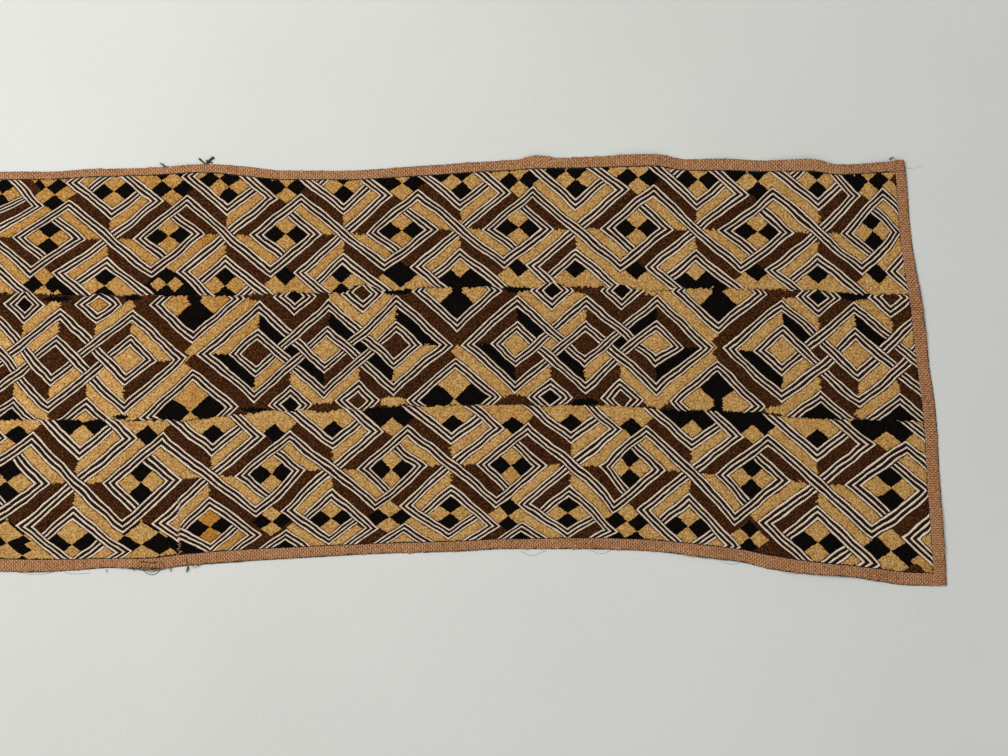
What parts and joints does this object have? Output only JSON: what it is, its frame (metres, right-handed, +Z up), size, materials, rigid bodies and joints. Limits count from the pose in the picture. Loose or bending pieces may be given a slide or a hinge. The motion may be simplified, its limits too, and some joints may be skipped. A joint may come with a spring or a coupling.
{
  "type": "kuba raffia cloth",
  "caption": "Long flat raffia cloth of three lengthwise cut-pile panels with interlaced diamond bands, bound all round with a plain-woven strip.",
  "frame": {"origin": "middle of the outline, on the surface that the cloth lies on", "axes": "+X along the cloth towards its wider end, +Y across it towards the upper binding, +Z up out of the pile face"},
  "size_m": [1.4698, 0.517, 0.0058],
  "materials": {
    "panel_cloth": "plain-woven raffia covered with cut pile and embroidered lines",
    "binding_cloth": "red-brown plain-woven raffia strip, matt with a slight fibre sheen",
    "pile_gold": "cut raffia pile, golden, matt at the tips",
    "pile_brown": "cut raffia pile, dark brown",
    "pile_black": "cut raffia pile, black",
    "line_cream": "undyed raffia lines of close stem stitch"
  },
  "bodies": {
    "root": {"panel_upper": "panel_cloth", "panel_middle": "panel_cloth", "panel_lower": "panel_cloth", "binding_top_left": "binding_cloth", "binding_top_right": "binding_cloth", "binding_bottom_left": "binding_cloth", "binding_bottom_right": "binding_cloth", "binding_right": "binding_cloth", "binding_left": "binding_cloth"}
  },
  "joints": []
}
